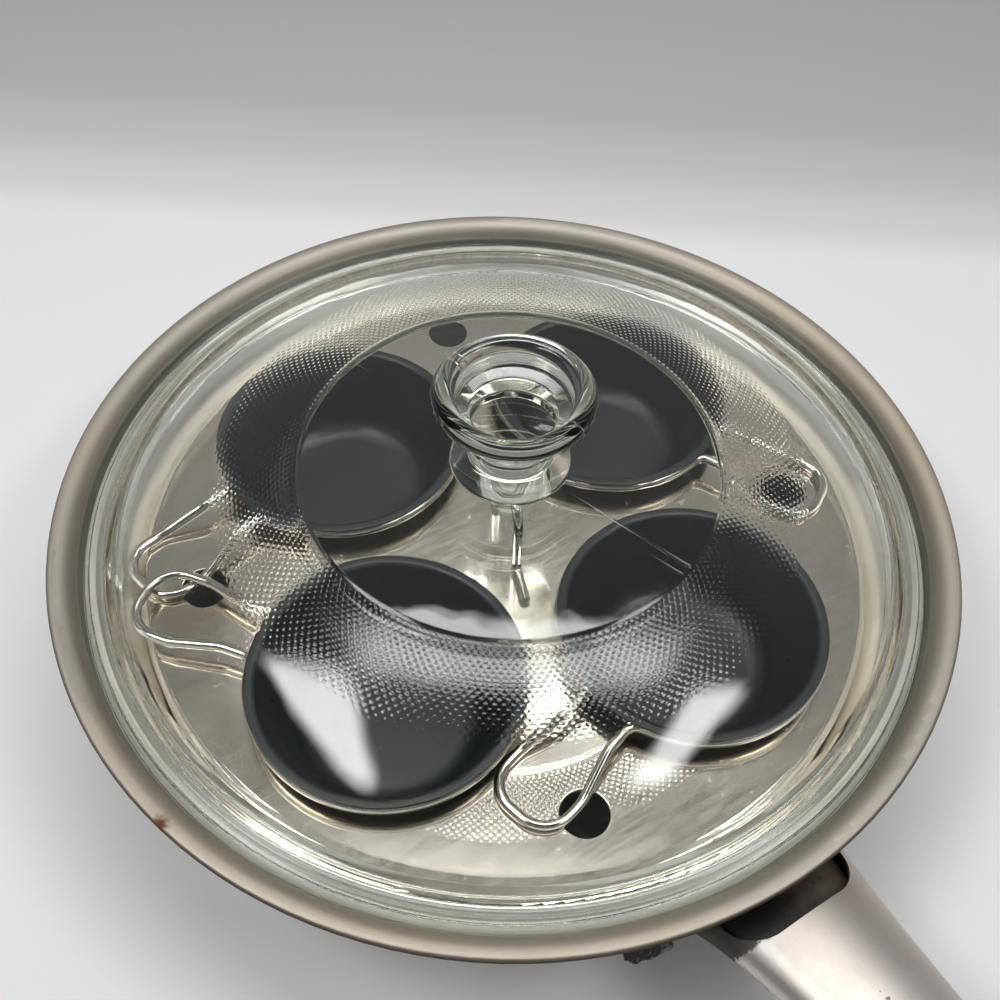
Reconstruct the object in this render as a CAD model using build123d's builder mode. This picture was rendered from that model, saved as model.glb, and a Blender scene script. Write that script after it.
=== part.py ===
from build123d import *
from math import asin, atan2, cos, degrees, radians, sin, sqrt, tan
import os

# Millimetres. The pan stands on Z = 0, its axis is Z, and the handle points along +X.

# Driving dimensions of the pan
rim_radius = 135.0
pan_height = 58.0
pan_sheet = 1.0
flare_width = 8.1
bead_radius = 1.1
ledge_drop = 10.0
ledge_width = 7.3
ledge_fillet = 1.5
wall_lean = 26.0
floor_corner = 12.0

# Driving dimensions of the clad base
base_radius = 90.0
base_thickness = 5.0
base_cover_sheet = 0.8
base_edge_fillet = 1.4

# Driving dimensions of the glass lid
lid_glass = 4.4
flange_glass = 4.5
flange_width = 5.7
lid_side_gap = 0.5
skirt_depth = 2.4
skirt_width = 3.4
skirt_gap = 1.8
shoulder_rise = 5.2
shoulder_run = 5.6
dome_rise = 20.6
stipple_radius = 87.0
dome_mid_share = 0.705
disc_radius = 61.0
disc_step = 0.6
lid_edge_fillet = 0.9

# Driving dimensions of the lid's knob
knob_radius = 23.0
knob_height = 29.0
knob_waist_radius = 12.4
knob_foot_radius = 17.4
knob_foot_rise = 5.2
knob_waist_rise = 10.2
knob_lip_radius = 3.3
dish_wall_radius = 16.2
dish_wall_drop = 7.5
dish_floor_radius = 12.3
dish_depth = 8.9

# Driving dimensions of the insert tray and its lifter
tray_drop = 20.0
tray_sheet = 0.9
tray_skirt = 6.0
tray_fillet = 2.2
steam_hole_radius = 6.8
steam_hole_inset = 19.0
steam_hole_angle = 71.0
hole_edge_fillet = 0.35
wire_radius = 1.5
lifter_height = 27.0
lifter_half_span = 13.0
lifter_foot_length = 12.5
lifter_bend = 8.0
lifter_foot_bend = 3.2

# Driving dimensions of the egg cups
cup_count = 4
cup_edge_gap = 8.5
cup_pair_gap = 10.8
cup_sheet = 0.8
cup_flange_width = 2.6
cup_taper_run = 10.3
cup_depth = 28.0
cup_corner = 7.5
cup_lip_bend = 1.2
cup_stand = 8.8

# Driving dimensions of the wire cradles
loop_length = 38.5
loop_neck = 7.6
loop_half_width = 11.0
loop_end_bend = 9.2
loop_root_bend = 4.0
loop_leg_bend = 12.0
loop_slope_start = 9.0
loop_slope_end = 24.0

# Each cup's finger loop: its turn from the cup's own spoke, and how many wires its end lies over
cup_names = ["right", "rear", "left", "front"]
loop_turns = [-100.0, -87.0, 77.0, -78.0]
loop_levels = [0, 0, 0, 1]

# Driving dimensions of the handle
handle_reach = 194.0
handle_rise = 4.0
handle_grip_width = 28.0
handle_grip_depth = 13.2
handle_sheet = 1.2
mouth_reach = 6.0
mouth_half_width = 19.4
mouth_corner = 10.0
bracket_sheet = 1.5
bracket_sink = 4.2
bracket_side_gap = 2.4
bracket_reach = 24.0
eyelet_radius = 4.6
eyelet_wall = 0.7
eyelet_lip = 1.8
eyelet_inset = 22.0
eyelet_seat = 0.45

# The handle's stations from inside the pan's wall to its end, as shares of its reach out from the
# rim, of its end's height over the pan's foot, and of its grip's half width and half depth
out_shares = [-0.227, -0.026, 0.098, 0.206, 0.387, 0.593, 0.799, 0.907, 0.969, 1.0]
height_shares = [0.347, 0.605, 0.723, 0.8, 0.895, 0.961, 0.994, 1.0, 1.0, 1.0]
width_shares = [1.893, 1.629, 1.314, 1.157, 1.014, 1.0, 1.114, 1.057, 0.786, 0.357]
depth_shares = [1.818, 1.515, 1.303, 1.182, 1.061, 1.0, 0.939, 0.848, 0.667, 0.394]
bracket_station_count = 5

# Named clearances and the overrun of every cut
body_gap = 0.3
fit_gap = 0.12
rest_gap = 0.2
seat_gap = 0.05
cross_gap = 0.5
seam_gap = 0.1
overrun = 5.0
half_turn = 180.0

# Heights and radii that follow
step_radius = rim_radius - flare_width
flare_radius = flare_width - bead_radius - pan_sheet
ledge_z = pan_height - ledge_drop
wall_top_radius = step_radius - ledge_width
floor_z = base_thickness + pan_sheet
wall_run = tan(radians(wall_lean))
foot_radius = wall_top_radius - (ledge_z - floor_z) * wall_run
tray_top = pan_height - tray_drop
tray_foot = tray_top - tray_skirt
lid_radius = step_radius - lid_side_gap
lid_top_z = ledge_z + flange_glass
dome_foot_radius = lid_radius - flange_width
disc_z = lid_top_z + shoulder_rise + dome_rise
cup_flange_z = tray_top + cup_stand
cradle_z = cup_flange_z - cup_sheet - seat_gap - wire_radius
cup_floor_z = cup_flange_z - cup_depth
first_spoke = steam_hole_angle - half_turn / cup_count
handle_out = [share * handle_reach for share in out_shares]
handle_axis = [share * (pan_height + handle_rise) for share in height_shares]
handle_half_width = [share * handle_grip_width / 2 for share in width_shares]
handle_half_height = [share * handle_grip_depth / 2 for share in depth_shares]


def wall_radius(height):
    """Inner radius of the pan's sloped wall at a height."""
    return wall_top_radius - (ledge_z - height) * wall_run


# The tray wedges in the sloped wall, and its cups and steam holes keep their distance from its edge
tray_radius = wall_radius(tray_foot) - body_gap
steam_circle_radius = tray_radius - steam_hole_inset
pair_share = sin(radians(half_turn / cup_count))
cup_room = (tray_radius - cup_edge_gap) * pair_share - cup_pair_gap / 2
cup_flange_radius = cup_room / (1 + pair_share)
cup_circle_radius = tray_radius - cup_edge_gap - cup_flange_radius
cup_mouth_radius = cup_flange_radius - cup_flange_width
cup_floor_radius = cup_mouth_radius - cup_taper_run


def cup_radius(height):
    """Outer radius of a cup's tapered wall at a height."""
    share = (cup_flange_z - height) / cup_depth
    middle = cup_mouth_radius + (cup_floor_radius - cup_mouth_radius) * share
    taper = atan2(cup_mouth_radius - cup_floor_radius, cup_depth)
    return middle + cup_sheet / 2 / cos(taper)


def finish(part, name):
    """Label one finished piece and write it."""
    part.label = name
    export_step(part, f"parts/{name}.step")


os.makedirs("parts", exist_ok=True)
cup_hole_radius = cup_radius(tray_top) + body_gap
cup_neck_radius = cup_radius(cup_flange_z - cup_lip_bend)

# Pan body: floor, sloped wall, ledge for the lid and flared rim with a rolled bead
half_sheet = pan_sheet / 2
rim_middle_z = pan_height - half_sheet
pan_points = [
    (0, floor_z - half_sheet),
    (foot_radius, floor_z - half_sheet),
    (wall_top_radius + half_sheet, ledge_z - half_sheet),
    (step_radius + half_sheet, ledge_z - half_sheet),
    (step_radius + half_sheet, rim_middle_z),
    (rim_radius - bead_radius, rim_middle_z),
]
with BuildPart() as pan_body:
    with BuildSketch(Plane.XZ):
        with BuildLine():
            FilletPolyline(*pan_points, radius=[floor_corner, ledge_fillet, ledge_fillet, flare_radius])
        trace(line_width=pan_sheet)
        with Locations((rim_radius - bead_radius, pan_height - bead_radius)):
            Circle(bead_radius)
    revolve(axis=Axis.Z)
finish(pan_body.part, "pan_body")

# Base core: the aluminium plate that spreads the heat
with BuildPart() as base_core:
    with Locations((0, 0, base_cover_sheet)):
        Cylinder(
            base_radius - base_cover_sheet,
            base_thickness - base_cover_sheet,
            align=(Align.CENTER, Align.CENTER, Align.MIN),
        )
finish(base_core.part, "base_core")

# Base cover: the steel cap around the core
with BuildPart() as base_cover:
    Cylinder(base_radius, base_thickness, align=(Align.CENTER, Align.CENTER, Align.MIN))
    fillet(base_cover.faces().sort_by(Axis.Z)[0].edges(), base_edge_fillet)
    with Locations((0, 0, base_cover_sheet)):
        Cylinder(
            base_radius - base_cover_sheet,
            base_thickness,
            align=(Align.CENTER, Align.CENTER, Align.MIN),
            mode=Mode.SUBTRACT,
        )
finish(base_cover.part, "base_cover")

# Lid: flange, locating skirt, shoulder, dome, flat middle disc and the knob, all one piece of glass
skirt_radius = wall_top_radius - skirt_gap
skirt_inner = skirt_radius - skirt_width
shoulder_radius = dome_foot_radius - shoulder_run
shoulder_z = lid_top_z + shoulder_rise
dome_z = disc_z - disc_step
stipple_z = shoulder_z + (dome_z - shoulder_z) * dome_mid_share
disc_edge = disc_radius + disc_step
knob_top_z = disc_z + knob_height
waist_z = disc_z + knob_waist_rise
lip_z = knob_top_z - knob_lip_radius
dish_z = knob_top_z - dish_depth
with BuildPart() as lid:
    with BuildSketch(Plane.XZ):
        with BuildLine():
            Polyline(
                (0, disc_z - lid_glass),
                (disc_radius, disc_z - lid_glass),
                (disc_edge, dome_z - lid_glass),
            )
            ThreePointArc(
                (disc_edge, dome_z - lid_glass),
                (stipple_radius, stipple_z - lid_glass),
                (shoulder_radius, shoulder_z - lid_glass),
            )
            Polyline(
                (shoulder_radius, shoulder_z - lid_glass),
                (skirt_inner, ledge_z),
                (skirt_inner, ledge_z - skirt_depth),
                (skirt_radius, ledge_z - skirt_depth),
                (skirt_radius, ledge_z),
                (lid_radius, ledge_z),
                (lid_radius, lid_top_z),
                (dome_foot_radius, lid_top_z),
                (shoulder_radius, shoulder_z),
            )
            ThreePointArc(
                (shoulder_radius, shoulder_z),
                (stipple_radius, stipple_z),
                (disc_edge, dome_z),
            )
            Polyline(
                (disc_edge, dome_z),
                (disc_radius, disc_z),
                (knob_foot_radius, disc_z),
                (knob_waist_radius, disc_z + knob_foot_rise),
                (knob_waist_radius, waist_z),
                (knob_radius, lip_z),
            )
            ThreePointArc(
                (knob_radius, lip_z),
                (knob_radius - knob_lip_radius, knob_top_z),
                (knob_radius - 2 * knob_lip_radius, lip_z),
            )
            Polyline(
                (knob_radius - 2 * knob_lip_radius, lip_z),
                (dish_wall_radius, knob_top_z - dish_wall_drop),
                (dish_floor_radius, dish_z),
                (0, dish_z),
                (0, disc_z - lid_glass),
            )
        make_face()
    revolve(axis=Axis.Z)
    rim_edges = lid.edges().filter_by(GeomType.CIRCLE)
    fillet([edge for edge in rim_edges if edge.radius > lid_radius - body_gap], lid_edge_fillet)
finish(lid.part, "lid")

# Insert tray: plate with a turned-down edge that wedges in the sloped wall
half_tray = tray_sheet / 2
with BuildPart() as insert_tray:
    with BuildSketch(Plane.XZ):
        with BuildLine():
            FilletPolyline(
                (0, tray_top - half_tray),
                (tray_radius - half_tray, tray_top - half_tray),
                (tray_radius - half_tray, tray_foot),
                radius=tray_fillet,
            )
        trace(line_width=tray_sheet)
    revolve(axis=Axis.Z)
    with BuildSketch(Plane.XY.offset(tray_top + overrun)):
        with PolarLocations(cup_circle_radius, cup_count, start_angle=first_spoke):
            Circle(cup_hole_radius)
        with PolarLocations(steam_circle_radius, cup_count, start_angle=steam_hole_angle):
            Circle(steam_hole_radius)
    extrude(amount=-(tray_sheet + 2 * overrun), mode=Mode.SUBTRACT)
    top_edges = insert_tray.faces().sort_by(Axis.Z)[-1].inner_wires().edges()
    fillet(top_edges, hole_edge_fillet)
finish(insert_tray.part, "insert_tray")

# Insert lifter: a wire arch over the middle of the tray, with its feet turned out flat
lifter_z = tray_top + seat_gap + wire_radius
lifter_plane = Plane.XZ.rotated((0, 0, steam_hole_angle - 90))
foot_end = lifter_half_span + lifter_foot_length
with BuildPart() as insert_lifter:
    with BuildLine(lifter_plane) as lifter_path:
        FilletPolyline(
            (-foot_end, lifter_z),
            (-lifter_half_span, lifter_z),
            (-lifter_half_span, tray_top + lifter_height),
            (lifter_half_span, tray_top + lifter_height),
            (lifter_half_span, lifter_z),
            (foot_end, lifter_z),
            radius=[lifter_foot_bend, lifter_bend, lifter_bend, lifter_foot_bend],
        )
    with BuildSketch(Plane(lifter_path.line @ 0, z_dir=lifter_path.line % 0)):
        Circle(wire_radius)
    sweep()
finish(insert_lifter.part, "insert_lifter")

# Egg cups and their wire cradles
half_cup = cup_sheet / 2
cradle_radius = cup_neck_radius + fit_gap + wire_radius
loop_reach = cradle_radius + loop_length
root_v = loop_neck + loop_root_bend
root_u = sqrt((cradle_radius + loop_root_bend) ** 2 - root_v**2)
root_angle = degrees(asin(root_v / (cradle_radius + loop_root_bend)))
for number, name in enumerate(cup_names):
    spoke = first_spoke + number * 2 * half_turn / cup_count
    centre = (cup_circle_radius * cos(radians(spoke)), cup_circle_radius * sin(radians(spoke)))
    cup_plane = Plane((*centre, 0), x_dir=(1, 0, 0), z_dir=(0, -1, 0))
    with BuildPart() as egg_cup:
        with BuildSketch(cup_plane):
            with BuildLine():
                FilletPolyline(
                    (0, cup_floor_z - half_cup),
                    (cup_floor_radius, cup_floor_z - half_cup),
                    (cup_mouth_radius, cup_flange_z - half_cup),
                    (cup_flange_radius, cup_flange_z - half_cup),
                    radius=[cup_corner, cup_lip_bend],
                )
            trace(line_width=cup_sheet)
        revolve(axis=Axis((*centre, 0), (0, 0, 1)))
    finish(egg_cup.part, f"egg_cup_{name}")

    loop_z = tray_top + rest_gap + wire_radius + loop_levels[number] * (2 * wire_radius + cross_gap)
    slope_start = cradle_radius + loop_slope_start
    slope_end = cradle_radius + loop_slope_end
    root = (root_u, loop_neck, 0)
    loop_side = [
        root,
        (slope_start, loop_neck, 0),
        (slope_end, loop_half_width, loop_z - cradle_z),
        (loop_reach, loop_half_width, loop_z - cradle_z),
    ]
    loop_points = loop_side + [(u, -v, z) for u, v, z in reversed(loop_side)]
    loop_radii = [loop_leg_bend, loop_leg_bend, loop_end_bend, loop_end_bend, loop_leg_bend, loop_leg_bend]
    loop_turn = radians(spoke + loop_turns[number])
    loop_plane = Plane((*centre, cradle_z), x_dir=(cos(loop_turn), sin(loop_turn), 0), z_dir=(0, 0, 1))
    with BuildPart() as cradle:
        with BuildLine(loop_plane) as ring_path:
            CenterArc((0, 0), cradle_radius, root_angle, 360 - 2 * root_angle)
            bend_start = 180 + root_angle
            CenterArc((root_u, root_v), loop_root_bend, bend_start, 90 - root_angle)
            CenterArc((root_u, -root_v), loop_root_bend, 90, 90 - root_angle)
        with BuildSketch(Plane(ring_path.wire() @ 0, z_dir=ring_path.wire() % 0)):
            Circle(wire_radius)
        sweep(path=ring_path.wire())
        with BuildLine(loop_plane) as loop_path:
            FilletPolyline(*loop_points, radius=loop_radii)
        with BuildSketch(Plane(loop_path.wire() @ 0, z_dir=loop_path.wire() % 0)):
            Circle(wire_radius)
        sweep(path=loop_path.wire())
    finish(cradle.part, f"cup_wire_{name}")

# The room that the pan takes, which the handle's pieces are cut back from
clear = body_gap / 2
with BuildPart() as pan_room:
    with BuildSketch(Plane.XZ):
        with BuildLine():
            Polyline(
                (0, 0),
                (foot_radius - floor_corner, 0),
                (wall_radius(0) + pan_sheet + clear, 0),
                (wall_top_radius + pan_sheet / cos(radians(wall_lean)) + clear, ledge_z - pan_sheet),
                (rim_radius + clear, ledge_z - pan_sheet),
                (rim_radius + clear, pan_height + overrun),
                (0, pan_height + overrun),
                (0, 0),
            )
        make_face()
    revolve(axis=Axis.Z)


def handle_oval(stations, inset, drop, start_angle, lift):
    """Upper half (from angle 0) or lower half (from 180) of the handle's oval, lofted."""
    with BuildPart() as oval:
        for station in stations:
            width = handle_half_width[station] - inset
            height = handle_half_height[station] - drop
            middle = handle_axis[station] + lift
            with BuildSketch(Plane.YZ.offset(rim_radius + handle_out[station])):
                with BuildLine():
                    EllipticalCenterArc((0, middle), width, height, start_angle, arc_size=half_turn)
                    Line((width, middle), (-width, middle))
                make_face()
        loft()
    return oval.part


def hollow(part_stations, inset, drop, margin):
    """Both halves of an inner oval, met over a shared seam, as one cutting solid."""
    with BuildPart() as core:
        add(handle_oval(part_stations, inset, drop, 0, -margin))
        add(handle_oval(part_stations, inset, drop, half_turn, margin))
    return core.part


def at_reach(values, reach):
    """A station table's value at a distance out from the rim, taken straight between stations."""
    after = next(index for index, out in enumerate(handle_out) if out >= reach)
    share = (reach - handle_out[after - 1]) / (handle_out[after] - handle_out[after - 1])
    return values[after - 1] + (values[after] - values[after - 1]) * share


all_stations = range(len(handle_out))
hollow_stations = all_stations[:-1]
bracket_stations = all_stations[:bracket_station_count]
handle_core = hollow(hollow_stations, handle_sheet, handle_sheet, seam_gap)
eyelet_reach = handle_out[-1] - eyelet_inset
eyelet_x = rim_radius + eyelet_reach
eyelet_z = at_reach(handle_axis, eyelet_reach)
eyelet_half = at_reach(handle_half_height, eyelet_reach) + eyelet_seat
mouth_x = rim_radius + mouth_reach

# Upper handle shell, with the mouth scooped out of its top beside the rim
with BuildPart() as handle_upper:
    add(handle_oval(all_stations, 0, 0, 0, seam_gap))
    add(handle_core, mode=Mode.SUBTRACT)
    add(pan_room.part, mode=Mode.SUBTRACT)
    with BuildSketch(Plane.XY.offset(pan_height)):
        with Locations((mouth_x / 2, 0)):
            RectangleRounded(mouth_x, 2 * mouth_half_width, mouth_corner)
    extrude(amount=-pan_height, mode=Mode.SUBTRACT)
    with Locations((eyelet_x, 0, eyelet_z)):
        Cylinder(eyelet_radius + fit_gap, 2 * pan_height, mode=Mode.SUBTRACT)
finish(handle_upper.part, "handle_upper_shell")

# Lower handle shell
with BuildPart() as handle_lower:
    add(handle_oval(all_stations, 0, 0, half_turn, -seam_gap))
    add(handle_core, mode=Mode.SUBTRACT)
    add(pan_room.part, mode=Mode.SUBTRACT)
    with Locations((eyelet_x, 0, eyelet_z)):
        Cylinder(eyelet_radius + fit_gap, 2 * pan_height, mode=Mode.SUBTRACT)
finish(handle_lower.part, "handle_lower_shell")

# Handle bracket: an arched tongue inside the handle, with a foot that follows the pan's wall
bracket_inset = handle_sheet + bracket_side_gap
bracket_end = rim_radius + bracket_reach
wall_clear = pan_sheet / cos(radians(wall_lean)) + clear
foot_low = wall_radius(0) + wall_clear
foot_high = wall_top_radius + wall_clear
with BuildPart() as bracket_foot:
    with BuildSketch(Plane.XZ):
        with BuildLine():
            Polyline(
                (foot_low, 0),
                (foot_high, ledge_z),
                (foot_high + bracket_sheet, ledge_z),
                (foot_low + bracket_sheet, 0),
                (foot_low, 0),
            )
        make_face()
    revolve(axis=Axis.Z)
    add(hollow(bracket_stations, bracket_inset, bracket_inset, seam_gap), mode=Mode.INTERSECT)
with BuildPart() as handle_bracket:
    add(handle_oval(bracket_stations, bracket_inset, bracket_sink, 0, 0))
    add(
        hollow(bracket_stations, bracket_inset + bracket_sheet, bracket_sink + bracket_sheet, seam_gap),
        mode=Mode.SUBTRACT,
    )
    add(pan_room.part, mode=Mode.SUBTRACT)
    with Locations((bracket_end, 0, 0)):
        Box(
            rim_radius,
            rim_radius,
            2 * pan_height,
            align=(Align.MIN, Align.CENTER, Align.MIN),
            mode=Mode.SUBTRACT,
        )
    add(bracket_foot.part)
finish(handle_bracket.part, "handle_bracket")

# Hang eyelet: a ferrule through both shells near the handle's end
eyelet_low = eyelet_z - eyelet_half
eyelet_high = eyelet_z + eyelet_half
with BuildPart() as hang_eyelet:
    with Locations((eyelet_x, 0, eyelet_z)):
        Cylinder(eyelet_radius, 2 * (eyelet_half + eyelet_wall))
    for lip_z in (eyelet_low - eyelet_wall / 2, eyelet_high + eyelet_wall / 2):
        with Locations((eyelet_x, 0, lip_z)):
            Cylinder(eyelet_radius + eyelet_lip, eyelet_wall)
    with Locations((eyelet_x, 0, eyelet_z)):
        Cylinder(eyelet_radius - eyelet_wall, 2 * pan_height, mode=Mode.SUBTRACT)
finish(hang_eyelet.part, "hang_eyelet")
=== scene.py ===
"""Looks for the egg poacher pan. Metres, in the part's own frame: base on Z = 0, handle along +X."""
from math import acos, atan2, ceil, cos, hypot, pi, radians, sin, tan

import bpy
import numpy as np
from mathutils import Matrix, Vector


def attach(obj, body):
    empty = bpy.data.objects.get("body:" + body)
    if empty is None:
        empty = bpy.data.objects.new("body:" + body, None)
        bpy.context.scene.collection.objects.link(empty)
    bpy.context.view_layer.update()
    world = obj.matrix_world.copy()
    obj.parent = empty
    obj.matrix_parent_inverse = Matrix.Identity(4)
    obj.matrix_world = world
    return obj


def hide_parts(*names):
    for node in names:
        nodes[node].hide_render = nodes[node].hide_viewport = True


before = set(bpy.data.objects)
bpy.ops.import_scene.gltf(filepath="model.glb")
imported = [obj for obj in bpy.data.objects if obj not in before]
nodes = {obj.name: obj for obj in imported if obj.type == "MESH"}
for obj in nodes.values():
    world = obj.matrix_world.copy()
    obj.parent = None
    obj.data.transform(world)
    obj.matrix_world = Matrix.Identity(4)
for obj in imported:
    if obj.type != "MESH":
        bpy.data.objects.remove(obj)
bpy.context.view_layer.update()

# Names of the egg cups, in turn round the pan
CUPS = ["right", "rear", "left", "front"]

# Camera: where it stands, what it looks at, its roll, lens, sensor and clipping
CAMERA_PLACE = (0.17576, -0.12307, 0.33368)
CAMERA_AIM = (-0.00139, -0.00202, 0.058)
CAMERA_ROLL = radians(3.006)
CAMERA_LENS_MM = 41.59
CAMERA_SENSOR_MM = 36.0
CAMERA_CLIP = (0.01, 50.0)

# How far a ray follows glass and gloss
BOUNCES = {"max_bounces": 24, "transmission_bounces": 20, "glossy_bounces": 8}

# Turn of the stage's frame, whose Y runs away from the camera, and that direction in the part's frame
AWAY_TURN = radians(55.0)
AWAY = (-sin(AWAY_TURN), cos(AWAY_TURN), 0.0)

# Meshes: the turn between two points of an arc, the distance of a support point from its corner, and the
# angle from which an edge stays sharp
ARC_STEP = radians(10.0)
SUPPORT_REACH = 0.0004
CREASE = radians(35.0)

# Lid, from its edge inwards: flange, skirt under it, shoulder, dome and disc
LID_RADIUS = 0.1264
LEDGE_Z = 0.048
FLANGE_TOP_Z = 0.0525
FLANGE_INNER = 0.1207
SKIRT_OUTER = 0.1178
SKIRT_INNER = 0.1144
SKIRT_Z = 0.0456
SHOULDER_RADIUS = 0.1151
SHOULDER_Z = 0.0577
STIPPLE_OUTER = 0.087
STIPPLE_Z = 0.07180
DISC_RADIUS = 0.061
DISC_EDGE = 0.0616
DOME_TOP_Z = 0.0777
DISC_Z = 0.0783
LID_GLASS = 0.0044
SLOPE_ROUNDINGS = [0.0022, 0.0014]
EDGE_ROUNDINGS = [0.0011, 0.0009, 0.0006, 0.0007, 0.0007, 0.0009]
LID_CREASE = radians(60)
# Of the dome's fine points, one in so many is kept outside the stipple, and the underside has so many steps
PLAIN_DOME_STEP = 8
UNDER_STEPS = 18

# Fine rings on the flange, and the plain strip outside them
FLANGE_WAVE = 0.0016
FLANGE_WAVE_HEIGHT = 0.00009
RINGS_ON_FLANGE = 24
FLANGE_PLAIN = 0.0013

# Knob, from its lip down and from its dish out
KNOB_TOP_Z = 0.1073
KNOB_RADIUS = 0.023
KNOB_LIP = 0.0033
KNOB_WAIST = 0.0124
KNOB_WAIST_Z = 0.0885
KNOB_FOOT = 0.0174
KNOB_FOOT_Z = 0.0835
DISH_WALL = 0.0162
DISH_WALL_Z = 0.0998
DISH_FLOOR = 0.0123
DISH_Z = 0.0984
KNOB_ROUNDINGS = [0.0012, 0.0012, KNOB_LIP * 0.98, KNOB_LIP * 0.98, 0.0006, 0.0020, 0.0010, 0.0008]

# Stipple on the dome: rows of round bumps that start so many rows from the disc and fade at the outer edge
BUMPS_ROUND = 210
SAMPLES_PER_BUMP = 6
BUMP_ROW = 0.0012
BUMP_RADIUS = 0.00052
BUMP_HEIGHT = 0.00012
BUMP_STEEPNESS = 1.5
STIPPLE_START_ROWS = 0.6
STIPPLE_FADE_ROWS = 3
STIPPLE_FADE_SHIFT = 0.35

# The mould's seam: on the disc outside the knob, and on the knob's lip, which is in the first rings
SEAM_ANGLE = radians(20.4)
SEAM_HEIGHT = 0.00018
SEAM_HALF_WIDTH = 0.00036
SEAM_DISC_FROM = KNOB_FOOT + 0.002
SEAM_LIP = (DISH_WALL - 0.0002, KNOB_RADIUS - 0.0004)
SEAM_LIP_RINGS = 0.6

# Egg cups
CUP_CIRCLE = 0.0635
FIRST_SPOKE = radians(26.0)
CUP_FLANGE = 0.0395
CUP_MOUTH = 0.0369
CUP_FLOOR = 0.0266
CUP_FLANGE_Z = 0.0468
CUP_FLOOR_Z = 0.0188
CUP_SHEET = 0.0008
CUP_CORNER = 0.0075
CUP_MOUTH_BEND = 0.0013
CUP_AXIS_GAP = 0.0004
CUP_ARC_STEP = radians(5)
CUP_SEGMENTS = 144

# Burnt residue that hangs from the rim: where, how large, how much it leans out and how ragged it is.
# Its length is an even part and a part by chance, which shrinks from its first to its last angle.
RESIDUE_ANGLES = (radians(-20.7), radians(-15.5))
RESIDUE_RADIUS = 0.1338
RESIDUE_TOP_Z = 0.0562
RESIDUE_DROP = 0.0072
RESIDUE_SHEET = 0.0009
RESIDUE_LEAN = 0.0022
RESIDUE_JITTER = 0.0012
RESIDUE_EVEN = 0.35
RESIDUE_BY_CHANCE = 0.9
RESIDUE_SHRINK = (1.3, 0.7)
RESIDUE_CELLS = (40, 12)
RESIDUE_SMOOTHING = 5
RESIDUE_SEED = 5

# Pan's steel: where the rim ends inside, painted shade on the underside of its bead, and rings by distance
# from the axis: painted shade on the ledge under the lid's flange, on the inner flare and in the gap at the
# lid's edge
RIM_INNER = 0.1268
RIM_INNER_SOFT = 0.0008
# Painted shade on the bead's underside: below these heights and out from this radius
BEAD_SHADE_Z = (0.0573, 0.0580)
BEAD_SHADE_INNER = (0.1325, 0.1330)
# Painted shade: a dark ring on the ledge under the lid's flange
LEDGE_SHADE = (0.1191, 0.1199, 0.1222, 0.1230)
# Painted shade: the inner half of the rim's flare darkened to olive
OLIVE_SHADE_BAND = (0.1272, 0.1318)
# Painted shadow: a dark line in the gap between the lid's edge and the rim
LID_GAP_SHADE = (0.1265, 0.1268, 0.1270, 0.1274)
RIM_ROUGHNESS = 0.50
LEDGE_ROUGHNESS = 0.34

# Places of marks: rust and a pit on the rim, a stain on the tray, a chip on the lid's shoulder
RUST_SPOT = (0.0415, -0.1275, 0.058)
RIM_PIT = (0.1023, 0.0868, 0.057)
TRAY_STAIN = (-0.0236, -0.0946, 0.038)
GLASS_CHIP = (-0.0969, -0.0582, 0.0592)

# Handle: heat tint along X, and soot at its mouth on the side of low Y
HEAT_X = (0.136, 0.182)
SOOT_X = (0.1418, 0.1434)
SOOT_Y = (-0.004, 0.008)
SOOT_RAGGED = 0.006

# Bracket: bare on the side of high Y and close to the pan, with two holes
BARE_Y = (0.001, 0.020)
BARE_Y_RAGGED = 0.014
BARE_X = (0.1385, 0.1425)
BARE_X_RAGGED = 0.003
BRACKET_HOLES = [(0.1348, 0.0098, 0.0452), (0.1350, 0.0076, 0.0452)]

# Share of the tray's sheen that is sharp, at its middle and from the outer radius on
TRAY_SHARP_RADII = (0.03, 0.075)
TRAY_SHARPNESS = (0.20, 0.55)

# Colour of thick glass and how fast it deepens, and what the lamps' light keeps on its way through
GLASS_TINT = (0.82, 0.88, 0.77, 1.0)
GLASS_DENSITY = 26.0
GLASS_SHADOW = (0.94, 0.95, 0.94, 1.0)

# Floor: its half side, its height, its tones by distance away from the camera, which paint shade on its far
# side, and its tint
FLOOR_HALF = 6.0
FLOOR_Z = -0.0001
FLOOR_SHADE_TONES = [(0.19, 0.90), (0.219, 0.75), (0.257, 0.615), (0.298, 0.525), (0.40, 0.505)]
FLOOR_TINT = (1.0, 1.003, 1.004)

# Lamps, in the stage's frame: middle, width and length, brightness, and where the left and the right side
# stand at the near and at the far end, as shares of the width. The edges are soft over LAMP_EDGE.
LAMP_HEIGHT = 1.0
LAMPS = {
    "left": ((-0.61, -0.30), (0.50, 0.64), 9.4, (0.70, 0.0), (1.0, 1.0)),
    "right": ((0.66, -0.25), (0.50, 0.54), 9.0, (0.0, 0.30), (0.45, 1.0)),
    "over": ((0.05, 0.12), (0.96, 0.27), 6.2, (0.0, 0.0), (1.0, 1.0)),
    "back": ((0.02, 0.487), (0.64, 0.100), 6.2, (0.0, 0.0), (1.0, 1.0)),
}
LAMP_EDGE = 0.16

# Room: its tones by height of the direction, and how much of them is left at the sides and on the near side
ROOM_TONES = [(0.0, 0.80), (0.22, 0.50), (0.42, 0.27), (0.72, 0.28), (0.84, 0.20), (0.92, 0.07), (1.0, 0.05)]
ROOM_SIDES = 0.40
ROOM_FALL = (-0.05, 0.55)


def turned(x, y):
    """A place in the stage's frame, as a place in the part's frame."""
    return (x * cos(AWAY_TURN) - y * sin(AWAY_TURN), x * sin(AWAY_TURN) + y * cos(AWAY_TURN))


# Outlines

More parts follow.
